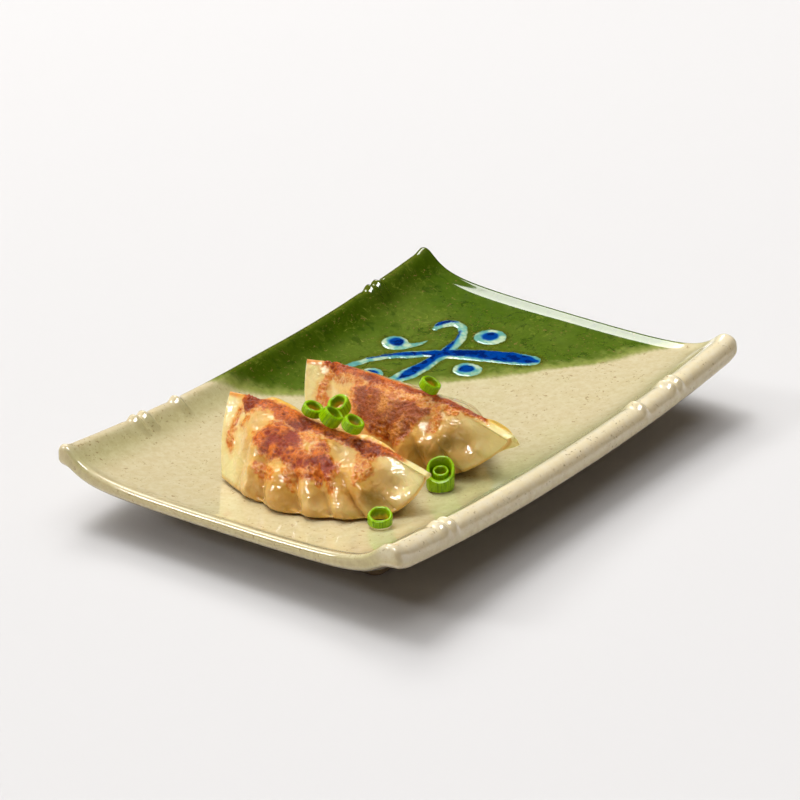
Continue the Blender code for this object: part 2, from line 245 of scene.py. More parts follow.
def near_share(y):
    """1 on the -Y half of the plate and 0 on the other, eased over its middle."""
    return ease(0.5 - y / NEAR_EASE_WIDTH)


def crest_inset(y):
    """How far a rim's crest lies inside the plate's edge."""
    return RIM_CREST_INSET + NEAR_ROLL_EXTRA * near_share(y)


def rim_share(y):
    """Close to 0 on the plate's flat middle and 1 at the crest of a long rim."""
    inside = PLATE_WIDTH / 2 - crest_inset(y) - abs(y)
    away = smooth_max(inside, 0, RIM_CREST_RADIUS)
    return 0.5 * (np.exp(-away / RIM_STEEP_REACH) + np.exp(-away / RIM_GENTLE_REACH))


def slab_rise(x, y):
    """The slab's curve along its length, with a small lip at each end and a slight warp."""
    half = PLATE_LENGTH / 2
    lip = END_LIP_RISE * ease((abs(x) - half + END_LIP_REACH) / END_LIP_REACH)
    warp = PLATE_TWIST * (x / half) * (2 * y / PLATE_WIDTH)
    return PLATE_SAG * abs(x / half) ** PLATE_SAG_POWER + lip + warp


def plate_top(x, y):
    """Height of the plate's upper face in millimetres."""
    inset = crest_inset(y)
    beyond = np.clip((abs(y) - PLATE_WIDTH / 2 + inset) / inset, 0.0, 1.0)
    drop = RIM_ROLL_DROP + NEAR_DROP_EXTRA * near_share(y)
    roll = drop * (1 - np.sqrt(1 - RIM_ROLL_ARC * beyond * beyond)) / (1 - math.sqrt(1 - RIM_ROLL_ARC))
    return PLATE_MIDDLE_HEIGHT + slab_rise(x, y) + RIM_RISE * rim_share(y) - roll


def plate_underside(x, y):
    """Height of the plate's lower face in millimetres."""
    return PLATE_MIDDLE_HEIGHT - PLATE_THICKNESS + slab_rise(x, y) + RIM_UNDERSIDE_RISE * rim_share(y)


def joint_relief(x, y):
    """The bamboo joints that run over the rims: a narrow ridge with a shallow groove on each side."""
    relief = np.zeros_like(x)
    inner = PLATE_WIDTH / 2 - NODE_INNER_REACH
    for places, side in ((NODE_PLACES_FAR, 1), (NODE_PLACES_NEAR, -1)):
        window = ease((side * y - inner) / NODE_EASE)
        for place in places:
            away = (x - place) / NODE_HALF_WIDTH
            groove = NODE_GROOVE_DEPTH * hump(abs(away) - NODE_GROOVE_PLACE)
            relief += window * (NODE_HEIGHT * hump(away) - groove)
    return relief


def make_object(name, points, face_groups, colours=None, smooth=True, **layers):
    """A mesh object from points in millimetres, with a colour and any float layers on its points."""
    mesh = bpy.data.meshes.new(name)
    mesh.vertices.add(len(points))
    mesh.vertices.foreach_set("co", (np.asarray(points) * MM).astype(np.float32).ravel())
    sides = np.concatenate([np.full(len(faces), faces.shape[1]) for faces in face_groups])
    corners = np.concatenate([faces.ravel() for faces in face_groups])
    mesh.loops.add(len(corners))
    mesh.loops.foreach_set("vertex_index", corners.astype(np.int32))
    mesh.polygons.add(len(sides))
    mesh.polygons.foreach_set("loop_start", (np.cumsum(sides) - sides).astype(np.int32))
    mesh.update(calc_edges=True)
    if colours is not None:
        layer = mesh.color_attributes.new("tone", "FLOAT_COLOR", "POINT")
        full = np.concatenate([np.clip(colours, 0, 1), np.ones((len(colours), 1))], axis=1)
        layer.data.foreach_set("color", full.astype(np.float32).ravel())
    for layer_name, values in layers.items():
        layer = mesh.attributes.new(layer_name, "FLOAT", "POINT")
        layer.data.foreach_set("value", np.asarray(values, np.float32))
    if smooth:
        mesh.shade_smooth()
    thing = bpy.data.objects.new(name, mesh)
    bpy.context.scene.collection.objects.link(thing)
    return thing


def face_outward(thing):
    """Turn the faces of a closed mesh outward."""
    bm = bmesh.new()
    bm.from_mesh(thing.data)
    bmesh.ops.recalc_face_normals(bm, faces=bm.faces[:])
    bm.to_mesh(thing.data)
    bm.free()


def grid_faces(rows, columns, closed=False, start=0):
    """Quads of a grid of points that is stored row by row, closed across its columns if asked."""
    row = np.arange(rows - 1)[:, None] * columns
    column = np.arange(columns if closed else columns - 1)[None, :]
    after = (column + 1) % columns
    corners = [row + column, row + after, row + columns + after, row + columns + column]
    return np.stack(corners, axis=-1).reshape(-1, 4) + start


# Glaze: beige over the plate, green over the far right corner

BOUNDARY_X = (-40, -26, -14, 4, 31, 46, 59, 71, 86, 98)
BOUNDARY_Y = (75, 61.5, 50.5, 34.5, 11.5, -3.5, -14.0, -26, -37, -50)
BOUNDARY_SLANT = 0.756
GREEN_EASE = 6
BEIGE_EASE = 4

BEIGE = srgb(219, 205, 165)
BEIGE_CLOUD = srgb(210, 203, 152)
BEIGE_SLOPE = srgb(204, 200, 142)
BEIGE_POOL = srgb(186, 194, 128)
BEIGE_CREST = srgb(240, 222, 186)
# Painted shade: a darker tone over the plate's rounded outer edge, above and below.
EDGE_PAINTED_SHADE = srgb(194, 174, 108)
# Painted highlight: a pale line along the crest of the near long rim.
NEAR_CREST_PAINTED_HIGHLIGHT = srgb(255, 246, 214)
GREEN_FRINGE = srgb(160, 163, 92)
GREEN_THIN = srgb(142, 156, 66)
GREEN = srgb(76, 102, 22)
GREEN_CLOUD = srgb(98, 118, 38)
GREEN_SLOPE = srgb(60, 82, 0)
GREEN_CREST = srgb(120, 122, 40)
STROKE_HALO = srgb(84, 78, 14)
# Painted shade: a darker tone over the plate's underside and foot.
UNDERSIDE_PAINTED_SHADE = srgb(110, 88, 54)
BARE_CLAY = srgb(176, 150, 118)


def green_depth(x, y):
    """How far a point lies inside the green glaze, in millimetres, negative in the beige."""
    return (y - np.interp(x, BOUNDARY_X, BOUNDARY_Y)) * BOUNDARY_SLANT


def glaze_colour(x, y, points):
    """The glaze's colour without its finest specks."""
    wander = 0.7 * noise(points, 9, 2, 3) + 0.25 * noise(points, 1.6, 2, 5)
    depth = green_depth(x, y) + wander
    cloud = noise(points, 22, 3, 11)
    fleck = noise(points, 2.2, 3, 21)
    rim = rim_share(y)
    slope = ease((rim - 0.15) / 0.4) * ease((0.95 - rim) / 0.3)
    green = painted(
        GREEN,
        (GREEN_CLOUD, ease(0.5 + 0.9 * cloud)),
        (GREEN_SLOPE, 0.75 * ease((rim - 0.12) / 0.45)),
        (GREEN_CREST, 0.5 * ease((rim - 0.82) / 0.15)),
    )
    return painted(
        BEIGE,
        (BEIGE_CLOUD, 0.35 * ease(0.5 + cloud)),
        (BEIGE_SLOPE, 0.55 * slope),
        (BEIGE_POOL, 0.6 * hump((x + 22) / 26, (y + 46) / 12)),
        (BEIGE_CREST, 0.75 * ease((rim - 0.8) / 0.15)),
        (GREEN_FRINGE, 0.85 * ease((depth + 0.3) / 1.4)),
        (GREEN_THIN, 0.7 * ease((depth - 0.6 + 1.2 * fleck) / 1.6)),
        (green, ease((depth - 1.2 + 2.2 * fleck) / 6.5)),
    )


# The brushed ornament on the green glaze: points (x, y, half width) in millimetres

DOT_LENGTH = 0.2


def dot(x, y, radius):
    """A dot, as a very short stroke."""
    return (x, y, radius), (x + DOT_LENGTH, y, radius)


PALE_STROKES = (
    ((16, 43.5, 1.1), (24.8, 41.6, 1.5), (31.6, 39.4, 1.5), (37, 36.4, 1.9), (43, 30.8, 2.3),
     (47.4, 26, 2.4), (49.8, 21.8, 3.1), (52.5, 17.1, 3.7), (55.5, 11.2, 4.2), (59.1, 1.3, 4.7),
     (61.2, -4.9, 3.8)),
    ((24, 24.6, 2.6), (27.3, 24.1, 3.0), (32.1, 23.3, 3.5), (37.5, 22.4, 2.9), (42.9, 22.2, 2.5),
     (48.4, 22.1, 2.4), (52.8, 22.3, 2.4), (57.1, 22.5, 2.1), (61.5, 23.3, 1.7), (65.8, 25, 1.5),
     (68.8, 27.7, 1.6), (69.6, 30.8, 1.9), (68.2, 33, 2.1), (65.4, 34.4, 1.8), (62.4, 34.2, 1.2)),
    ((46, 37, 2.6), (49.2, 33.8, 1.4), (51.3, 32.4, 0.8), (54.5, 31.8, 0.25)),
    dot(46.4, 39.3, 4.6),
    dot(67.7, 15.4, 5.5),
    dot(44.6, 9, 4.9),
    dot(24.3, 33, 4.1),
)
BLUE_STROKES = (
    ((32, 40.1, 0.2), (34, 39.2, 0.5), (37.5, 36.9, 0.9), (40.3, 34.6, 1.0), (44.8, 29.3, 1.2),
     (49.2, 23.8, 1.9), (53.4, 17.5, 2.3), (56.2, 11.5, 2.9), (59.3, 2.7, 3.5), (61, -3.6, 2.5),
     (61.8, -6.7, 1.0)),
    ((26.5, 23.8, 0.6), (32.1, 23.3, 1.9), (37.3, 23, 1.8), (43.6, 22.9, 1.5), (49, 23, 1.4),
     (54.1, 23.1, 1.1), (57.7, 23.8, 0.8), (61.9, 24.8, 0.45), (65.7, 26.3, 0.15)),
    ((64.6, 35.2, 0.6), (67.2, 34.8, 1.0), (69.5, 33.3, 0.8), (70.4, 30.8, 0.3)),
    dot(47.2, 39.3, 2.5),
    dot(68.1, 15.8, 2.6),
    dot(44.8, 9.5, 2.5),
    dot(24.3, 33, 2.0),
)
MOTIF_CELL = 0.22
MOTIF_X = (12, 76)
MOTIF_Y = (-12, 48)
ENAMEL_HEIGHT = 0.16
ENAMEL_LIFT = 0.03
ENAMEL_REACH = 0.45

ENAMEL_PALE = srgb(124, 184, 164)
ENAMEL_CREAM = srgb(205, 222, 184)
ENAMEL_TEAL = srgb(84, 156, 158)
ENAMEL_SKY = srgb(40, 136, 188)
ENAMEL_BLUE = srgb(0, 64, 152)
ENAMEL_NAVY = srgb(0, 34, 108)


def make_motif():
    """The slightly raised enamel strokes and dots: a fine grid that is kept only where there is enamel."""
    across = np.arange(*MOTIF_X, MOTIF_CELL)
    up = np.arange(*MOTIF_Y, MOTIF_CELL)
    x, y = (value.ravel() for value in np.meshgrid(across, up, indexing="ij"))
    flat = np.stack([x, y, np.zeros_like(x)], axis=1)
    wobble = 0.22 * noise(flat, 3.0, 2, 31) + 0.12 * noise(flat, 0.9, 2, 37)
    pale = nearest_stroke(x, y, PALE_STROKES) + 0.2 + wobble
    blue = nearest_stroke(x, y, BLUE_STROKES) + 1.3 * wobble
    faces = grid_faces(len(across), len(up))
    faces = faces[(pale[faces] < ENAMEL_REACH).all(axis=1)]
    used, corners = np.unique(faces, return_inverse=True)
    x, y, flat, pale, blue = x[used], y[used], flat[used], pale[used], blue[used]
    raised = ENAMEL_HEIGHT * (ease(-pale / 0.7) + 0.25 * ease(-blue / 0.6)) + ENAMEL_LIFT
    points = np.stack([x, y, plate_top(x, y) + raised], axis=1)
    wash = noise(flat, 2.4, 3, 41)
    enamel = ease((0.25 - pale) / ENAMEL_REACH)
    cream = painted(
        ENAMEL_PALE,
        (ENAMEL_CREAM, 0.85 * ease(wash + 0.2)),
        (ENAMEL_TEAL, 0.7 * ease(0.1 - wash)),
        (ENAMEL_SKY, 0.8 * ease((0.9 - blue) / 0.9)),
    )
    deep = painted(ENAMEL_BLUE, (ENAMEL_NAVY, ease(0.45 + 1.2 * wash)))
    ground = glaze_colour(x, y, points)
    colours = painted(ground, (cream, enamel), (deep, ease((0.3 - blue) / 0.7)))
    green = ease(green_depth(x, y) / GREEN_EASE)
    faces = [corners.reshape(-1, 4)]
    return make_object("plate_ornament", points, faces, colours, green=green, enamel=enamel)


def spaced_lines(half, spots, coarse, fine, spot_reach, fade=3):
    """Grid lines from -half to half, close together near the given spots and wider apart elsewhere."""
    dense = np.linspace(-half, half, 4001)
    wanted = np.full(len(dense), 1 / coarse)
    for spot in spots:
        wanted = np.maximum(wanted, (1 / fine) * (1 - ease((abs(dense - spot) - spot_reach) / fade)))
    total = np.concatenate([[0], np.cumsum((wanted[1:] + wanted[:-1]) / 2 * np.diff(dense))])
    count = int(round(total[-1]))
    return np.interp(np.linspace(0, total[-1], count + 1), total, dense)


def edge_lines(inner, radius, steps=6):
    """Grid lines with those of the rounded edge added outside them."""
    turn = np.sin(np.linspace(0, math.pi / 2, steps + 1)[1:]) * radius
    return np.concatenate([inner[0] - turn[::-1], inner, inner[-1] + turn])


def plate_grid():
    """Plan places of the plate's grid, with how far each lies down the rounded edge."""
    radius = PLATE_EDGE_RADIUS
    half_x = PLATE_LENGTH / 2 - radius
    half_y = PLATE_WIDTH / 2 - radius
    spots = NODE_PLACES_FAR + NODE_PLACES_NEAR + (-half_x, half_x)
    inner_x = spaced_lines(half_x, spots, coarse=1.25, fine=0.42, spot_reach=2.6)
    inner_y = spaced_lines(half_y, (-half_y, half_y), coarse=1.3, fine=0.55, spot_reach=17)
    x, y = np.meshgrid(edge_lines(inner_x, radius), edge_lines(inner_y, radius), indexing="ij")
    base_x = np.clip(x, -half_x, half_x)
    base_y = np.clip(y, -half_y, half_y)
    over_x = x - base_x
    over_y = y - base_y
    reach = np.hypot(over_x, over_y)
    wanted = np.maximum(abs(over_x), abs(over_y))
    factor = np.where(reach > 0, wanted / np.maximum(reach, 1 / FAR_AWAY), 1.0)
    down = radius - np.sqrt(np.maximum(radius**2 - (reach * factor) ** 2, 0))
    return base_x + over_x * factor, base_y + over_y * factor, down


def foot_ring():
    """Points and faces of the foot: a rounded rectangle swept with the profile of a rounded wall."""
    middle_x = FOOT_LENGTH / 2 - FOOT_CORNER
    middle_y = FOOT_WIDTH / 2 - FOOT_CORNER
    path = []
    for quarter, (side_x, side_y) in enumerate(((1, 1), (-1, 1), (-1, -1), (1, -1))):
        for step in range(FOOT_CORNER_STEPS + 1):
            turn = math.radians(90 * (quarter + step / FOOT_CORNER_STEPS))
            path.append((side_x * middle_x, side_y * middle_y, math.cos(turn), math.sin(turn)))
    spans = []
    for first, second in zip(path, path[1:] + path[:1]):
        pieces = max(1, int(math.dist(first[:2], second[:2]) / FOOT_STEP))
        for piece in range(pieces):
            spans.append([a + (b - a) * piece / pieces for a, b in zip(first, second)])
    spans = np.array(spans)
    inner_rounding = [(FOOT_WALL - reach, height) for reach, height in FOOT_ROUNDING[::-1]]
    rows = []
    for reach, height in ((0.0, None), *FOOT_ROUNDING, *inner_rounding, (FOOT_WALL, None)):
        x = spans[:, 0] + spans[:, 2] * (FOOT_CORNER - reach)
        y = spans[:, 1] + spans[:, 3] * (FOOT_CORNER - reach)
        z = plate_underside(x, y) + FOOT_OVERLAP if height is None else np.full(len(x), height)
        rows.append(np.stack([x, y, z], axis=1))
    return np.concatenate(rows), grid_faces(len(rows), len(spans), closed=True)


def make_plate():
    """The plate: upper face, rounded edge, underside and foot."""
    x, y, down = plate_grid()
    rows, columns = x.shape
    flat = np.stack([x.ravel(), y.ravel(), np.zeros(x.size)], axis=1)
    hand = HAND_WAVE * noise(flat, 34, 2, 51) + HAND_RIPPLE * noise(flat, 6, 2, 53)
    hand = hand.reshape(x.shape) * ease((PLATE_EDGE_RADIUS - down) / PLATE_EDGE_RADIUS)
    relief = joint_relief(x, y) * (1 - 0.6 * down / PLATE_EDGE_RADIUS)
    upper = plate_top(x, y) - down + relief + hand
    lower = plate_underside(x, y) + down
    top, bottom = (np.stack([x, y, z], axis=-1).reshape(-1, 3) for z in (upper, lower))
    count = len(top)
    index = np.arange(count).reshape(rows, columns)
    border = np.concatenate([index[0, :], index[1:, -1], index[-1, -2::-1], index[-2:0:-1, 0]])
    after = np.roll(border, -1)
    wall = np.stack([border, after, after + count, border + count], axis=1)
    foot_points, foot_faces = foot_ring()
    top_faces = grid_faces(rows, columns)
    bottom_faces = grid_faces(rows, columns, start=count)[:, ::-1]
    points = np.concatenate([top, bottom, foot_points])
    x, y, z = points.T
    number = np.arange(len(points))
    on_top = number < count
    beige = ease(-green_depth(x, y) / BEIGE_EASE)
    # How far down the rounded outer edge each point lies, where the painted shade goes.
    edge = ease(down.ravel() / PLATE_EDGE_RADIUS - 0.1)
    edge = np.concatenate([edge, edge, np.zeros(len(foot_points))])
    # Painted highlight along the crest of the near long rim.
    near_crest_painted_highlight = on_top * hump((y + PLATE_WIDTH / 2 - 5.0) / 2.8)
    halo = on_top * ease((2.2 - nearest_stroke(x, y, PALE_STROKES)) / 2.0)
    # Painted shade over the underside and the foot; the bare clay at the foot's lower edge goes over it.
    under = ~on_top * ease(1.2 - (z - plate_underside(x, y)))
    bare = (number >= 2 * count) * ease((2.4 - z) / 1.2)
    colours = painted(
        glaze_colour(x, y, points),
        # Painted shade on the rounded outer edge.
        (EDGE_PAINTED_SHADE, 0.7 * edge * beige),
        # Painted highlight on the near rim's crest.
        (NEAR_CREST_PAINTED_HIGHLIGHT, 0.5 * near_crest_painted_highlight * beige),
        (STROKE_HALO, 0.45 * halo),
        # Painted shade on the underside and the foot.
        (UNDERSIDE_PAINTED_SHADE, 0.85 * under),
        (BARE_CLAY, bare),
    )
    green = ease(green_depth(x, y) / GREEN_EASE)
    faces = [top_faces, bottom_faces, wall, foot_faces + 2 * count]
    plate = make_object("plate_glazed", points, faces, colours, green=green, bare=bare)
    face_outward(plate)
    return plate


# Dumplings


class Dumpling(NamedTuple):
    """Shape of one dumpling in its local frame, as in the solid, and the places of its browning.

    A place runs from 0 at the flap to 1 at the tip, and a share from 0 at the frill to 1 at the ridge.
    """

    name: str
    origin: tuple
    turn: float
    ridge: tuple
    frill: tuple
    fullness: tuple
    back: tuple
    pleats: tuple
    hollow: tuple  # the front's large hollow (place, share, depth in mm)
    band: tuple  # (place, share) of the browned band's lower edge
    band_depth: float  # how dark the band is
    patch: tuple  # (place, share) around the fried patch
    patch_tone: tuple  # its two colours
    spots: tuple  # orange strokes of (place, share, half width in mm)
    windows: tuple  # pale pockets (place, share, half length, half height)
    olive: tuple  # where the filling shines through (place, share, half length, half height)
    back_lips: tuple  # where the back layer shows above the ridge (place, 0, half length, 1)
    back_layer: float  # how far the back layer reaches past the front one at the tip
    dents: tuple  # hollows of the front (place, share, half length, half height, depth in mm)
    seed: int


FRONT_DUMPLING = Dumpling(
    name="dumpling_front",
    origin=(-49.9, -6.3),
    turn=-85.4,
    ridge=((-36.3, 0, 36.3), (-24.7, 0, 36.2), (-11.1, 0.2, 34.4), (3.0, 0.3, 31.9), (18.8, 0, 30.5),
           (35.2, 0, 26.5)),
    frill=((-29.5, 15.4, 0.8), (-16.5, 22.3, 0.8), (-1.3, 26.2, 0.8), (12.0, 24.2, 0.8),
           (24.4, 16.4, 0.8), (31.4, 7.6, 4.2), (34.4, 1.2, 11.0)),
    fullness=(0.07, 0.24, 0.64, 0.9),
    back=(21.6, 15.0),
    pleats=(0.14, 0.26, 0.41, 0.52, 0.62, 0.74),
    hollow=(0.79, 0.33, 2.6),
    band=((0.09, 0.95), (0.125, 0.78), (0.17, 0.83), (0.22, 0.865), (0.285, 0.87), (0.3, 0.8),
          (0.4, 0.77), (0.48, 0.82), (0.57, 0.86), (0.66, 0.87), (0.69, 0.77), (0.715, 0.7),
          (0.745, 0.77), (0.8, 0.86), (0.88, 0.95)),
    band_depth=1.0,
    patch=((0.2, 0.54), (0.215, 0.61), (0.26, 0.71), (0.3, 0.8), (0.36, 0.83), (0.395, 0.77),
           (0.45, 0.72), (0.44, 0.62), (0.47, 0.57), (0.5, 0.7), (0.54, 0.78), (0.56, 0.71),
           (0.555, 0.62), (0.605, 0.56), (0.58, 0.46), (0.55, 0.34), (0.5, 0.27), (0.42, 0.29),
           (0.385, 0.39), (0.305, 0.37), (0.26, 0.43)),
    patch_tone=((148, 46, 0), (236, 130, 30)),
    spots=(
        ((0.707, 0.72, 1.8), (0.7, 0.6, 1.7), (0.67, 0.43, 1.5), (0.64, 0.33, 0.9)),
        ((0.095, 0.84, 0.5), (0.072, 0.64, 0.5), (0.057, 0.5, 0.55), (0.064, 0.38, 0.4)),
        ((0.25, 0.27, 1.2), (0.285, 0.25, 1.5), (0.31, 0.23, 1.0)),
        ((0.375, 0.3, 1.0), (0.385, 0.19, 0.6)),
        ((0.545, 0.25, 0.7), (0.54, 0.2, 0.6)),
        ((0.38, 0.8, 2.4), (0.47, 0.76, 2.0), (0.5, 0.76, 1.2)),
        ((0.14, 0.75, 0.8), (0.12, 0.66, 0.7)),
    ),
    windows=((0.205, 0.72, 0.055, 0.11), (0.635, 0.7, 0.05, 0.14), (0.5, 0.6, 0.02, 0.05)),
    olive=((0.7, 0.17, 0.045, 0.13),),
    back_lips=((0.27, 0, 0.09, 1), (0.73, 0, 0.1, 1)),
    back_layer=0.0,
    dents=((0.33, 0.36, 0.03, 0.1, 1.3), (0.555, 0.2, 0.03, 0.1, 1.2), (0.12, 0.62, 0.025, 0.3, 0.7),
           (0.66, 0.42, 0.03, 0.12, 1.0)),
    seed=100,
)

BACK_DUMPLING = Dumpling(
    name="dumpling_back",
    origin=(-18.0, -13.3),
    turn=-87.3,
    ridge=((-38.9, 0, 36.2), (-27.0, 0, 37.5), (-11.8, 0, 36.2), (6.4, 0, 35.0), (20.0, 0, 33.4),
           (37.6, 0, 28.9)),
    frill=((-32.0, 8.6, 0.8), (-19.0, 12.8, 0.8), (-4.0, 13.8, 0.8), (9.0, 12.4, 0.8), (20.0, 7.0, 1.6),
           (29.0, 2.2, 6.6), (36.4, 0.8, 13.2)),
    fullness=(0.13, 0.32, 0.62, 0.9),
    back=(21.0, 9.0),
    pleats=(0.17, 0.29, 0.43, 0.55, 0.67, 0.8),
    hollow=(0.76, 0.42, 2.4),
    band=((0.12, 0.98), (0.16, 0.9), (0.2, 0.86), (0.25, 0.9), (0.38, 0.92), (0.5, 0.95), (0.66, 0.965),
          (0.8, 0.955), (0.88, 0.975)),
    band_depth=0.8,
    patch=((0.28, 0.62), (0.29, 0.76), (0.33, 0.86), (0.4, 0.87), (0.46, 0.83), (0.53, 0.86),
           (0.62, 0.85), (0.59, 0.72), (0.54, 0.59), (0.52, 0.45), (0.48, 0.31), (0.41, 0.33),
           (0.36, 0.36), (0.33, 0.44), (0.29, 0.52)),
    patch_tone=((156, 72, 8), (214, 134, 40)),
    spots=(
        ((0.16, 0.88, 1.0), (0.13, 0.78, 0.9), (0.105, 0.66, 0.9), (0.11, 0.57, 1.3), (0.135, 0.53, 0.8)),
        ((0.2, 0.86, 1.8), (0.3, 0.9, 1.6), (0.45, 0.92, 2.4), (0.6, 0.92, 2.4), (0.74, 0.93, 1.5)),
        ((0.66, 0.9, 1.4), (0.65, 0.75, 1.5), (0.62, 0.6, 1.1)),
        ((0.3, 0.66, 1.6), (0.31, 0.78, 1.8), (0.37, 0.86, 1.5)),
        ((0.5, 0.8, 2.2), (0.56, 0.78, 1.6)),
    ),
    windows=((0.24, 0.8, 0.05, 0.09), (0.6, 0.62, 0.03, 0.1)),
    olive=((0.57, 0.3, 0.05, 0.09), (0.68, 0.42, 0.045, 0.13)),
    back_lips=((0.92, 0, 0.05, 1),),
    back_layer=3.4,
    dents=((0.62, 0.66, 0.03, 0.12, 1.2), (0.4, 0.28, 0.04, 0.1, 0.9), (0.15, 0.6, 0.03, 0.3, 0.7),
           (0.85, 0.4, 0.03, 0.2, 0.8)),
    seed=200,
)

DOUGH_CREAM = srgb(252, 232, 166)
DOUGH_GOLD = srgb(226, 168, 76)
DOUGH_AMBER = srgb(208, 146, 58)
DOUGH_FRILL = srgb(222, 166, 68)
DOUGH_LIP = srgb(248, 196, 84)
DOUGH_FLAP_EDGE = srgb(246, 200, 110)
DOUGH_WINDOW = srgb(226, 190, 128)
DOUGH_OLIVE = srgb(138, 106, 34)
FLAP_CORNER = srgb(226, 138, 44)
HALO_GOLD = srgb(236, 184, 88)
HALO_ORANGE = srgb(230, 138, 34)
HALO_BROWN = srgb(188, 82, 22)
CRUST_SPARK = srgb(232, 164, 88)
BAND_DARK = srgb(134, 46, 2)
BAND_LIGHT = srgb(230, 120, 30)
TOAST_PALE = srgb(252, 214, 140)
TOAST_DEEP = srgb(210, 104, 18)


def filling(shape, place):
    """0 where two wrapper layers are pressed together, and 1 over the filling."""
    starts, full, stays, ends = shape.fullness
    return ease((place - starts) / (full - starts)) * ease((ends - place) / (ends - stays))


def pleat(shape, place):
    """Height of the folds from 0 in a valley to 1 on a lobe, steeper on one side."""
    edges = np.array((0.0, *shape.pleats, 1.0))
    index = np.clip(np.searchsorted(edges, place, side="left") - 1, 0, len(edges) - 2)
    part = np.clip((place - edges[index]) / (edges[index + 1] - edges[index]), 0, 1)
    return np.maximum(np.sin(math.pi * part**0.8), 0) ** 1.15


def ellipse_share(place, share, spots):
    """1 in the middle of any of the ellipses and 0 outside them."""
    most = np.zeros(len(place))
    for middle_place, middle_share, length, height in spots:
        away = ((place - middle_place) / length) ** 2 + ((share - middle_share) / height) ** 2
        most = np.maximum(most, np.exp(-(away**1.5)))
    return most


def lip_share(shape, place):
    """1 in the middle of a stretch where the back layer shows above the ridge, and 0 elsewhere."""
    return ellipse_share(place, np.zeros(len(place)), shape.back_lips)


def dumpling_skin(shape, place, around):
    """World points of the skin; place runs from the flap to the tip, around from the frill up the front."""
    angle = math.radians(shape.turn)
    along = np.array((math.cos(angle), math.sin(angle)))
    front = np.array((math.sin(angle), -math.cos(angle)))

    def world(x, y):
        plan = np.array(shape.origin) + along * x[:, None] + front * y[:, None]
        return plan[:, 0], plan[:, 1]

    ridge = spline(shape.ridge, place)
    frill = spline(shape.frill, place)
    frill[:, 2] += plate_top(*world(frill[:, 0], frill[:, 1]))
    share = (1 - np.cos(around)) / 2
    side = np.sin(around)
    arch = np.maximum(np.sin(math.pi * share), 0)
    chord = ridge - frill
    outward = np.stack([np.zeros(len(place)), chord[:, 2], -chord[:, 1]], axis=1)
    outward /= np.linalg.norm(outward, axis=1)[:, None]
    fill = filling(shape, place)
    inward = np.minimum(np.minimum(place, 1 - place) / END_THINNING, 1)
    half_wall = WRAPPER_THICKNESS / 2 * np.sqrt(np.clip(1 - (1 - inward) ** 2, 0.02, 1))
    folding = pleat(shape, np.clip(place + PLEAT_SLANT * (place - 0.45) * (share - 0.15), 0, 1))
    bulge = FRONT_BULGE * fill * np.sin(math.pi * np.minimum(share * 1.02, 1.0)) ** 0.8
    low = ease((0.62 - share) / 0.5) * ease(share / 0.06 + 0.3)
    folds = (FOLD_HEIGHT * folding - FOLD_DEPTH) * low * fill
    middle_place, middle_share, deepest = shape.hollow
    hollow = hump((place - middle_place) / HOLLOW_LENGTH, (share - middle_share) / HOLLOW_HEIGHT)
    lifted = half_wall * np.sqrt(np.maximum(side, 0)) + bulge + folds - deepest * hollow
    spine = frill + chord * share[:, None]
    facing = spine + outward * lifted[:, None]
    depth = arch**0.85 * fill
    behind = spine - outward * (half_wall * np.sqrt(np.maximum(-side, 0)))[:, None]
    behind[:, 1] -= shape.back[0] * depth
    behind[:, 2] -= shape.back[1] * depth * (1 - share)
    skin = np.where((side >= 0)[:, None], facing, behind)
    skin[:, 0] -= FLAP_BULGE * np.sin(math.pi * share) * (1 - ease(place / 0.16))
    skin[:, 1] += LOBE_REACH * (folding - 0.6) * fill * (1 - ease(share / 0.16))
    lip = lip_share(shape, place) * hump((share - LIP_HEIGHT) / LIP_SPREAD)
    skin[:, 2] += np.where(side < 0, LIP_RISE * lip, 0)
    tip = ease((place - TIP_START) / (1 - TIP_START))
    skin[:, 0] -= TIP_ROUNDING * tip**2 * (2 * share - 1) ** 2
    layer = shape.back_layer * ease((place - LAYER_START) / 0.12) * arch**0.6
    layer *= np.where(side < 0, np.sqrt(1 - 0.97 * np.clip((place - 0.95) / 0.05, 0, 1) ** 2), 0)
    skin[:, 0] += 0.8 * layer
    skin[:, 2] -= 0.6 * layer
    below_ridge = (1 - share) * np.linalg.norm(chord, axis=1)
    curl = ease((place - CURL_START) / 0.2) * hump((below_ridge - CURL_DROP) / CURL_SPREAD)
    skin[:, 1] += np.where(side >= 0, CURL_REACH * curl, 0)
    for dent_place, dent_share, length, height, deep in shape.dents:
        dent = deep * hump((place - dent_place) / length, (share - dent_share) / height)
        skin[:, 1] -= np.where(side >= 0, dent, 0)
    x, y = world(skin[:, 0], skin[:, 1])
    height = smooth_max(skin[:, 2], plate_top(x, y) + CLEARANCE, 0.5)
    return np.stack([x, y, height], axis=1)


def grid_normals(grid):
    """Outward unit normals of a grid of points that is closed across its columns."""
    lengthwise = np.gradient(grid, axis=0)
    crosswise = np.roll(grid, -1, axis=1) - np.roll(grid, 1, axis=1)
    normal = np.cross(lengthwise, crosswise)
    normal /= np.linalg.norm(normal, axis=2)[:, :, None] + 1 / FAR_AWAY
    outward = grid - grid.mean(axis=1)[:, None, :]
    return -normal if (normal * outward).sum() < 0 else normal


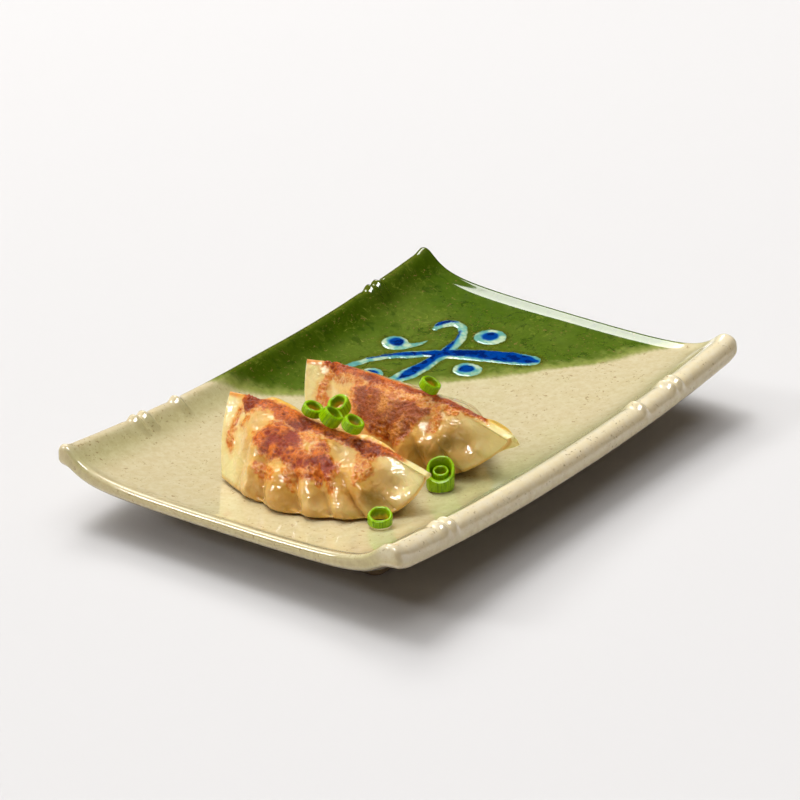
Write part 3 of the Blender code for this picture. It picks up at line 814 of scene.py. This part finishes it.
def browning(shape, place, share, side, points):
    """Signed distances to the dark band, the fried patch and the orange strokes on the unrolled front."""
    along = place * RIDGE_SCALE
    up = share * CHORD_SCALE
    ragged = 0.9 * noise(points, 3.2, 2, shape.seed)
    ragged += 0.5 * noise(points, 0.9, 2, shape.seed + 3)
    edge = np.interp(place, *zip(*shape.band))
    ends = np.maximum(shape.band[0][0] * RIDGE_SCALE - along, along - shape.band[-1][0] * RIDGE_SCALE)
    below = (edge - share) * CHORD_SCALE
    behind = 2.5 * (1 - share) * CHORD_SCALE - 1.2
    band = np.maximum(np.where(side >= 0, below, behind), ends)
    patch = outline_distance(along, up, [(p * RIDGE_SCALE, s * CHORD_SCALE) for p, s in shape.patch])
    strokes = [[(p * RIDGE_SCALE, s * CHORD_SCALE, w) for p, s, w in stroke] for stroke in shape.spots]
    spots = nearest_stroke(along, up, strokes)
    patch, spots = (np.where(side >= 0, distance, 9.0) for distance in (patch, spots))
    return band + 0.8 * ragged, patch + ragged, spots + 0.9 * ragged


def dumpling_marks(shape, place, turn, points):
    """What shapes the fine relief and the colours at each point: its place, its browning and noise."""
    share = (1 - np.cos(turn)) / 2
    side = np.sin(turn)
    front = side >= 0
    band, patch, spots = browning(shape, place, share, side, points)
    crust = np.minimum(band, patch)
    return SimpleNamespace(
        place=place,
        share=share,
        front=front,
        patch=patch,
        crust=crust,
        near=np.minimum(crust, spots),
        dark=ease((-crust - 0.1) / 1.1),
        toast=ease((1.0 - np.minimum(crust, spots)) / 1.6),
        fill=filling(shape, place),
        window=ellipse_share(place, share, shape.windows) * front,
        olive=ellipse_share(place, share, shape.olive) * front,
        soft=noise(points, 8, 2, shape.seed + 11),
        small=noise(points, 2.6, 3, shape.seed + 13),
        crinkle=1 - 2.2 * abs(noise(points, 1.25, 2, shape.seed + 23)),
    )


def fine_relief(shape, marks, points):
    """Height of the wrinkles, the crust and the sunken pockets over the skin."""
    crisp = noise(points, 1.1, 3, shape.seed + 17)
    wrinkle = 1 - abs(noise(points * (1, 1, 0.4), 5.0, 2, shape.seed + 19))
    lower = ease((0.66 - marks.share) / 0.25) * ease(marks.share / 0.1) * marks.fill
    lift = (0.55 * marks.soft + 0.20 * marks.small) * marks.fill + 0.03 * marks.small
    lift += 0.75 * (wrinkle - 0.75) * lower
    lift += marks.toast * (0.10 * crisp + 0.16 * marks.small + 0.17 * marks.crinkle) + 0.16 * marks.dark
    lift -= 0.5 * marks.window
    return lift * np.where(marks.front, 1.0, 0.55)


def dumpling_colours(shape, marks):
    """The dough's colour: cream, more golden low down, with orange and dark brown frying marks."""
    place, share, soft, small, crinkle = marks.place, marks.share, marks.soft, marks.small, marks.crinkle
    lips = lip_share(shape, place) * ~marks.front
    flap_edge = ease((0.035 - place) / 0.03) * (1 - 0.6 * ease((share - 0.9) / 0.1))
    corner = ease((share - 0.92) / 0.05) * ease((0.13 - place) / 0.05)
    halo = marks.front * ease((3.4 - marks.near + 0.8 * small) / 3.0)
    toast = ease((1.6 - marks.near) / 1.6) * marks.front * (1 - marks.dark)
    deep, light = (srgb(*tone) for tone in shape.patch_tone)
    fried = painted(
        deep,
        (light, 0.9 * ease(0.34 + 0.7 * soft + 0.6 * small + 0.25 * crinkle)),
        (CRUST_SPARK, 0.6 * ease((0.5 * crinkle + 1.2 * soft - 0.55) / 0.4)),
    )
    bright = ease(0.30 + 0.6 * soft + 0.5 * small + 0.25 * crinkle)
    band = painted(BAND_DARK, (BAND_LIGHT, 0.85 * bright))
    in_band = marks.patch > 0
    return painted(
        DOUGH_CREAM,
        (DOUGH_GOLD, 0.8 * marks.fill * ease((0.75 - abs(share - 0.45)) / 0.6)),
        (DOUGH_AMBER, 0.55 * marks.fill * ease(0.4 + 1.4 * soft)),
        (DOUGH_FRILL, 0.75 * ease((0.07 - share) / 0.07)),
        (DOUGH_LIP, lips * ease((share - 0.85) / 0.06)),
        (DOUGH_FLAP_EDGE, 0.2 * flap_edge),
        (DOUGH_WINDOW, 0.6 * marks.window),
        (DOUGH_OLIVE, 0.85 * marks.olive),
        (FLAP_CORNER, 0.85 * corner),
        (HALO_GOLD, 0.6 * halo * (1 - 0.8 * marks.window)),
        (HALO_ORANGE, 0.9 * ease((0.9 - marks.near) / 0.9) * (1 - 0.5 * marks.window)),
        (HALO_BROWN, 0.85 * ease((0.2 - marks.crust) / 0.8)),
        (np.where(in_band[:, None], band, fried), np.where(in_band, shape.band_depth, 1.0) * marks.dark),
        (TOAST_PALE, 0.28 * toast * ease((crinkle - 0.35) / 0.5)),
        (TOAST_DEEP, 0.55 * toast * ease((0.3 - crinkle) / 0.7)),
    )


def make_dumpling(shape):
    """One dumpling with its pleats, crust and colours."""
    around = np.concatenate([
        np.linspace(0, math.pi, FRONT_STEPS, endpoint=False),
        np.linspace(math.pi, 2 * math.pi, BACK_STEPS, endpoint=False),
    ])
    rows, columns = DUMPLING_PLACES, len(around)
    place, turn = (value.ravel() for value in np.meshgrid(np.linspace(0, 1, rows), around, indexing="ij"))
    points = dumpling_skin(shape, place, turn)
    marks = dumpling_marks(shape, place, turn, points)
    normals = grid_normals(points.reshape(rows, columns, 3)).reshape(-1, 3)
    points = points + normals * fine_relief(shape, marks, points)[:, None]
    floor = plate_top(points[:, 0], points[:, 1]) + 0.12
    points[:, 2] = smooth_max(points[:, 2], floor, 0.25)
    colours = dumpling_colours(shape, marks)
    step = np.arange(columns)
    after = (step + 1) % columns
    last_row = (rows - 1) * columns
    middle = np.full(columns, len(points))
    caps = np.concatenate([
        np.stack([after, step, middle], axis=1),
        np.stack([last_row + step, last_row + after, middle + 1], axis=1),
    ])
    points = np.vstack([points, points[:columns].mean(axis=0), points[last_row:].mean(axis=0)])
    colours = np.vstack([colours, colours[:1], colours[-1:]])
    faces = [grid_faces(rows, columns, closed=True), caps]
    crust, dark = (np.append(value, (0, 0)) for value in (marks.toast, marks.dark))
    thing = make_object(shape.name + "_skin", points, faces, colours, crust=crust, dark=dark)
    face_outward(thing)
    return thing


# Spring onion rings: middle, axis, radius, wall, length, slant of the cut, as in the solids


class OnionRing(NamedTuple):
    """A short cut of a hollow leaf, in millimetres."""

    name: str
    middle: tuple
    axis: tuple
    radius: float
    wall: float
    length: float
    slant: float = 0.0


UPRIGHT = (0, 0, 1)
ONION_RINGS = (
    OnionRing("onion_ridge_left", (-49.4, 1.1, 36.7), (0.11, -0.37, 0.92), 3.25, 1.25, 2.8),
    OnionRing("onion_ridge_middle", (-50.4, -6.6, 36.6), (0.3, -0.5, 0.81), 3.35, 1.25, 4.0),
    OnionRing("onion_ridge_right", (-50.7, -14.8, 36.6), (0.14, -0.43, 0.89), 3.35, 1.25, 3.3),
    OnionRing("onion_ridge_long", (-40.6, -2.4, 35.3), (-0.42, 0.07, 0.9), 3.4, 1.2, 4.0),
    OnionRing("onion_back", (-17.5, -19.5, 38.3), (0.22, -0.41, 0.88), 3.35, 1.1, 2.9),
    OnionRing("onion_between", (-32.3, -33.9, 0.0), UPRIGHT, 4.4, 0.95, 6.0, 2.5),
    OnionRing("onion_between_small", (-31.9, -33.6, 2.2), UPRIGHT, 2.5, 0.8, 3.4, 0.6),
    OnionRing("onion_front", (-66.5, -36.2, 0.0), UPRIGHT, 3.65, 0.9, 3.2, 0.9),
)
ONION_STEPS = 112
ONION_RIBS = 26
ONION_SEED = 300
NOSE_SHARE = 0.44
SLANT_TOWARDS = np.array((0.81, 0.59))

LEAF = srgb(156, 200, 0)
LEAF_STREAK = srgb(78, 134, 0)
LEAF_CUT = srgb(150, 196, 24)
LEAF_INSIDE = srgb(132, 164, 6)
LEAF_HEART = srgb(214, 190, 36)
LEAF_FOOT = srgb(216, 206, 90)


def onion_middle(ring):
    """A ring's middle; an upright ring's height is counted from the plate under it."""
    x, y, z = ring.middle
    if ring.axis != UPRIGHT:
        return np.array((x, y, z))
    turn = np.linspace(0, 2 * math.pi, 20, endpoint=False)
    under = plate_top(x + ring.radius * np.cos(turn), y + ring.radius * np.sin(turn)).max()
    return np.array((x, y, under + CLEARANCE + z + ring.length / 2))


def ring_profile(ring):
    """The wall's section as rows of (depth from the outside, height), once around from the lower outside."""
    nose = NOSE_SHARE * ring.wall
    deep = ring.wall - nose
    half = ring.length / 2
    low = nose - half
    high = half - nose

    def arc(depth, height, start, steps):
        turns = np.radians(start) + np.linspace(0, math.pi / 2, steps + 1)[1:]
        return [(depth - nose * math.cos(turn), height + nose * math.sin(turn)) for turn in turns]

    rows = [(0.0, height) for height in np.linspace(low, high, 12)]
    rows += arc(nose, high, 0, 4)
    rows += [(depth, half) for depth in np.linspace(nose, deep, 5)[1:]]
    rows += arc(deep, high, 90, 4)
    rows += [(ring.wall, height) for height in np.linspace(high, low, 8)[1:]]
    rows += arc(deep, low, 180, 3)
    rows += arc(nose, low, 270, 3)
    return np.array(rows[:-1])


def make_onion_ring(ring, seed):
    """A ring of leaf with its ribbed outside, paler cut face and pale inside."""
    profile = ring_profile(ring)
    turns = np.linspace(0, 2 * math.pi, ONION_STEPS, endpoint=False)
    turn, row = (value.ravel() for value in np.meshgrid(turns, np.arange(len(profile)), indexing="ij"))
    depth, height = profile[row].T
    across, up = np.cos(turn), np.sin(turn)
    flat = np.zeros(len(turn))
    circle = np.stack([2 * across, 2 * up, flat], axis=1)
    uneven = 0.05 * value_noise(circle, 1.1, seed)
    thickness = np.where(depth > ring.wall * 0.5, 1 + 0.18 * value_noise(circle, 1.4, seed + 5), 1.0)
    rib = 0.05 * np.cos(turn * ONION_RIBS + 0.6 * value_noise(circle, 0.6, seed + 9)) * (depth < 0.02)
    radius = ring.radius * (1 + uneven) - depth * thickness + rib
    local = np.stack([radius * across * 1.03, radius * up * 0.97, height], axis=1)
    end_share = height / (ring.length / 2)
    slant = ring.slant * (local[:, :2] @ SLANT_TOWARDS) / ring.radius * end_share
    local[:, 2] += np.where(height > 0, slant, 0)
    ends = np.stack([local[:, 0], local[:, 1], np.sign(height) * 9], axis=1)
    local[:, 2] += 0.07 * value_noise(ends, 1.2, seed + 3)
    tilt = Vector(UPRIGHT).rotation_difference(Vector(ring.axis).normalized()).to_matrix()
    points = local @ np.array(tilt).T + onion_middle(ring)
    faces = grid_faces(len(turns) + 1, len(profile), closed=True) % len(points)
    share = depth / ring.wall
    cut = ease((abs(end_share) - 0.86) / 0.12)
    streak = value_noise(np.stack([across * 9, up * 9, height * 0.15], axis=1), 0.5, seed + 7)
    level = height / ring.length + 0.5 + 0.16 * value_noise(circle, 0.9, seed + 21)
    inside = ease((share - 0.6) / 0.3)
    colours = painted(
        LEAF,
        (LEAF_STREAK, 0.6 * ease(0.35 + 0.9 * streak)),
        (LEAF_CUT, 0.6 * cut * ease((share - 0.12) / 0.3)),
        (LEAF_INSIDE, 0.8 * inside),
        (LEAF_HEART, inside * ease((0.62 - level) / 0.3)),
        (LEAF_FOOT, 0.7 * ease((0.05 - level) / 0.1)),
    )
    return make_object(ring.name + "_leaf", points, [faces], colours)


# Materials

SPECK_TONE = srgb(150, 118, 70)
FLECK_TONE = srgb(150, 162, 62)
DUSK_TONE = srgb(36, 62, 8)
FLOUR_TONE = srgb(246, 232, 190)


class Nodes:
    """A material's node tree with short calls for the nodes that the materials here share."""

    def __init__(self, name):
        self.material = bpy.data.materials.new(name)
        self.material.use_nodes = True
        self.tree = self.material.node_tree
        self.shader = self.tree.nodes["Principled BSDF"]
        self.where = self.tree.nodes.new("ShaderNodeTexCoord").outputs["Object"]

    def feed(self, socket, value):
        """Put a number, a colour or another node's output into a socket."""
        if isinstance(value, bpy.types.NodeSocket):
            self.tree.links.new(value, socket)
        elif isinstance(value, np.ndarray):
            socket.default_value = (*value, 1.0)
        else:
            socket.default_value = value

    def node(self, kind, output, **inputs):
        """One of the outputs of a new node, its inputs given by name."""
        node = self.tree.nodes.new("ShaderNode" + kind)
        for name, value in inputs.items():
            self.feed(node.inputs[name.replace("_", " ")], value)
        return node.outputs[output]

    def attribute(self, name, output="Fac"):
        socket = self.node("Attribute", output)
        socket.node.attribute_name = name
        return socket

    def noise(self, scale, detail=3.0, roughness=0.55, distortion=0.0):
        values = {"Scale": scale, "Detail": detail, "Roughness": roughness, "Distortion": distortion}
        return self.node("TexNoise", "Fac", Vector=self.where, **values)

    def ramp(self, source, low, high, start=0.0, end=1.0):
        ends = {"From_Min": low, "From_Max": high, "To_Min": start, "To_Max": end}
        socket = self.node("MapRange", "Result", Value=source, **ends)
        socket.node.interpolation_type = "SMOOTHSTEP"
        return socket

    def math(self, operation, first, second):
        socket = self.node("Math", "Value")
        socket.node.operation = operation
        self.feed(socket.node.inputs[0], first)
        self.feed(socket.node.inputs[1], second)
        return socket

    def times(self, first, *others):
        for other in others:
            first = self.math("MULTIPLY", first, other)
        return first

    def mix(self, share, first, second, blend="MIX"):
        node = self.tree.nodes.new("ShaderNodeMix")
        node.data_type = "RGBA"
        node.blend_type = blend
        sockets = {socket.identifier: socket for socket in (*node.inputs, *node.outputs)}
        for key, value in (("Factor_Float", share), ("A_Color", first), ("B_Color", second)):
            self.feed(sockets[key], value)
        return sockets["Result_Color"]

    def bump(self, height, distance, strength=1.0, **under):
        return self.node("Bump", "Normal", Height=height, Distance=distance, Strength=strength, **under)

    def set(self, **values):
        for name, value in values.items():
            self.feed(self.shader.inputs[name.replace("_", " ")], value)


def glaze_material():
    """Glossy glaze: the painted tone with fine brown specks, and pale and dark flecks in the green."""
    nodes = Nodes("stoneware glaze")
    green = nodes.attribute("green")
    plain = nodes.math("SUBTRACT", 1.0, nodes.attribute("enamel"))
    speck = nodes.ramp(nodes.noise(900, 2.0), 0.61, 0.7)
    speck = nodes.times(speck, nodes.ramp(nodes.noise(160, 2.0), 0.35, 0.65), plain, 0.7)
    grain = nodes.ramp(nodes.noise(420, 4.0, 0.7), 0.3, 0.7)
    fleck = nodes.ramp(nodes.noise(310, 5.0, 0.72, 1.6), 0.53, 0.72)
    fleck = nodes.times(fleck, nodes.ramp(nodes.noise(60, 2.0), 0.42, 0.62), green, 0.62, plain)
    dusk = nodes.ramp(nodes.noise(240, 4.0, 0.65, 0.8), 0.52, 0.68)
    dusk = nodes.times(dusk, green, 0.5, plain)
    colour = nodes.mix(speck, nodes.attribute("tone", "Color"), SPECK_TONE)
    colour = nodes.mix(0.12, colour, grain, "OVERLAY")
    colour = nodes.mix(fleck, colour, FLECK_TONE)
    colour = nodes.mix(dusk, colour, DUSK_TONE)
    uneven = nodes.ramp(nodes.noise(300, 2.0), 0.3, 0.7, 0.07, 0.14)
    rough = nodes.math("ADD", uneven, nodes.times(nodes.attribute("bare"), 0.6))
    waves = nodes.bump(nodes.noise(220, 3.0), 0.00010, 0.5)
    nodes.set(Base_Color=colour, Roughness=rough, Normal=waves, IOR=1.5)
    nodes.set(Coat_Weight=0.9, Coat_Roughness=0.02)
    return nodes.material


def dough_material():
    """Oily fried dough: the painted tone, translucent, with a crisp crust where it is browned."""
    nodes = Nodes("fried wrapper")
    crust = nodes.attribute("crust")
    dark = nodes.attribute("dark")
    grain = nodes.ramp(nodes.noise(1500, 4.0, 0.7), 0.36, 0.62)
    colour = nodes.mix(nodes.times(crust, 0.25), nodes.attribute("tone", "Color"), grain, "OVERLAY")
    flour = nodes.ramp(nodes.noise(260, 3.0), 0.5, 0.75)
    flour = nodes.times(flour, 0.1, nodes.math("SUBTRACT", 1.0, crust))
    colour = nodes.mix(flour, colour, FLOUR_TONE, "SCREEN")
    smooth = nodes.ramp(nodes.noise(180, 3.0), 0.35, 0.7, 0.22, 0.4)
    rough = nodes.math("ADD", smooth, nodes.times(dark, 0.22))
    bubbles = nodes.bump(nodes.times(nodes.noise(1300, 3.0, 0.6), crust), 0.00050)
    normal = nodes.bump(nodes.noise(290, 2.0, 0.45, 0.9), 0.00080, 0.6, Normal=bubbles)
    oil = nodes.math("SUBTRACT", 0.8, nodes.times(dark, 0.35))
    nodes.set(Base_Color=colour, Roughness=rough, Normal=normal, IOR=1.42, Specular_IOR_Level=0.2)
    nodes.set(Coat_Weight=oil, Coat_Normal=normal, Coat_Roughness=0.03, Coat_IOR=1.7)
    nodes.set(Subsurface_Weight=0.35, Subsurface_Radius=(0.0036, 0.0018, 0.0007), Subsurface_Scale=1.0)
    return nodes.material


def onion_material():
    """Moist leaf, a little translucent."""
    nodes = Nodes("spring onion leaf")
    grain = nodes.ramp(nodes.noise(1400, 3.0), 0.3, 0.7)
    colour = nodes.mix(0.12, nodes.attribute("tone", "Color"), grain, "OVERLAY")
    rough = nodes.ramp(nodes.noise(700, 2.0), 0.3, 0.7, 0.16, 0.24)
    ripples = nodes.bump(nodes.noise(900, 2.0), 0.00006, 0.5)
    nodes.set(Base_Color=colour, Roughness=rough, Normal=ripples, IOR=1.42, Specular_IOR_Level=0.3)
    nodes.set(Coat_Weight=0.15, Coat_Roughness=0.06)
    nodes.set(Subsurface_Weight=0.2, Subsurface_Radius=(0.0010, 0.0014, 0.0002), Subsurface_Scale=1.0)
    return nodes.material


# Camera, floor and light

CAMERA_AZIMUTH = math.radians(-54.449)
CAMERA_ELEVATION = math.radians(24.795)
CAMERA_DISTANCE = 0.93756
CAMERA_TARGET = Vector((-0.00458, 0.0009, 0.023))
CAMERA_LENS = 135.0
CAMERA_SENSOR = 36.0
FLOOR_HALF = 3000.0
FLOOR_TONE = (0.675, 0.67, 0.675, 1)
WORLD_TONE = (1.0, 0.86, 0.72, 1)
WORLD_STRENGTH = 0.14

# Distant lights: name, direction towards it, degrees wide, strength, if gloss mirrors it, if it sheds light
SUNS = (
    ("surrounding glow", (0.08, 0.27, 0.96), 84, 1.85, False, True),
    ("softbox behind", (0.05, 0.4, 0.92), 22, 1.15, False, True),
    ("softbox above", (-0.19, -0.16, 0.97), 24, 2.1, True, False),
    ("left window", (-0.6, 0.6, 0.53), 11, 0.7, True, True),
)
PANEL_PLACE = Vector((0.6, 0.82, 1.16))
PANEL_AIM = Vector((0, 0, 0.01))
PANEL_SIZE = (0.68, 0.5)
PANEL_POWER = 6.4
PANEL_TONE = (1.0, 0.99, 0.96)


def add_to_scene(name, data):
    """An object in the scene with the given camera or light data."""
    thing = bpy.data.objects.new(name, data)
    bpy.context.scene.collection.objects.link(thing)
    return thing


def make_camera():
    """The camera at the photograph's angle."""
    a, e = CAMERA_AZIMUTH, CAMERA_ELEVATION
    back = Vector((math.sin(a) * math.cos(e), -math.cos(a) * math.cos(e), math.sin(e)))
    right = Vector((math.cos(a), math.sin(a), 0))
    data = bpy.data.cameras.new("camera")
    data.lens = CAMERA_LENS
    data.sensor_width = CAMERA_SENSOR
    data.clip_start = 0.01
    camera = add_to_scene("camera", data)
    turn = Matrix((right, back.cross(right), back)).transposed().to_4x4()
    camera.matrix_world = Matrix.Translation(CAMERA_TARGET + back * CAMERA_DISTANCE) @ turn
    bpy.context.scene.camera = camera


def make_lights():
    """Soft distant lights, and one rectangular panel behind the plate."""
    for name, towards, width, strength, mirrored, lighting in SUNS:
        data = bpy.data.lights.new(name, "SUN")
        data.angle = math.radians(width)
        data.energy = strength
        light = add_to_scene(name, data)
        light.rotation_euler = Vector(towards).to_track_quat("Z", "Y").to_euler()
        light.visible_glossy = mirrored
        light.visible_diffuse = lighting
    data = bpy.data.lights.new("behind", "AREA")
    data.shape = "RECTANGLE"
    data.size, data.size_y = PANEL_SIZE
    data.energy = PANEL_POWER
    data.color = PANEL_TONE
    turn = (PANEL_AIM - PANEL_PLACE).to_track_quat("-Z", "Y").to_matrix().to_4x4()
    add_to_scene("behind", data).matrix_world = Matrix.Translation(PANEL_PLACE) @ turn


def make_stage():
    """A pale floor and a faint warm surrounding."""
    nodes = Nodes("pale floor")
    nodes.set(Base_Color=FLOOR_TONE, Roughness=0.75, Specular_IOR_Level=0.1)
    corners = np.array(((-1, -1, 0), (1, -1, 0), (1, 1, 0), (-1, 1, 0))) * FLOOR_HALF
    floor = make_object("floor", corners, [np.array([(0, 1, 2, 3)])], smooth=False)
    floor.data.materials.append(nodes.material)
    world = bpy.data.worlds.new("surrounding")
    world.use_nodes = True
    background = world.node_tree.nodes["Background"]
    background.inputs["Color"].default_value = WORLD_TONE
    background.inputs["Strength"].default_value = WORLD_STRENGTH
    bpy.context.scene.world = world
    world.cycles_visibility.glossy = False
    bpy.context.scene.view_settings.view_transform = "Standard"


def main():
    """Dress the frame."""
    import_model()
    make_camera()
    make_stage()
    make_lights()
    glaze = glaze_material()
    pieces = [(make_plate(), ("plate",), "stoneware_glaze", glaze)]
    pieces.append((make_motif(), (), "stoneware_glaze", glaze))
    dough = dough_material()
    for shape in (FRONT_DUMPLING, BACK_DUMPLING):
        pieces.append((make_dumpling(shape), (shape.name,), "fried_wrapper", dough))
    leaf = onion_material()
    for number, ring in enumerate(ONION_RINGS):
        pieces.append((make_onion_ring(ring, ONION_SEED + number), (ring.name,), "spring_onion", leaf))
    for piece, replaced, slot_name, look in pieces:
        piece.data.materials.append(look)
        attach(piece, "root")
        if replaced:
            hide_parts(*replaced)


main()
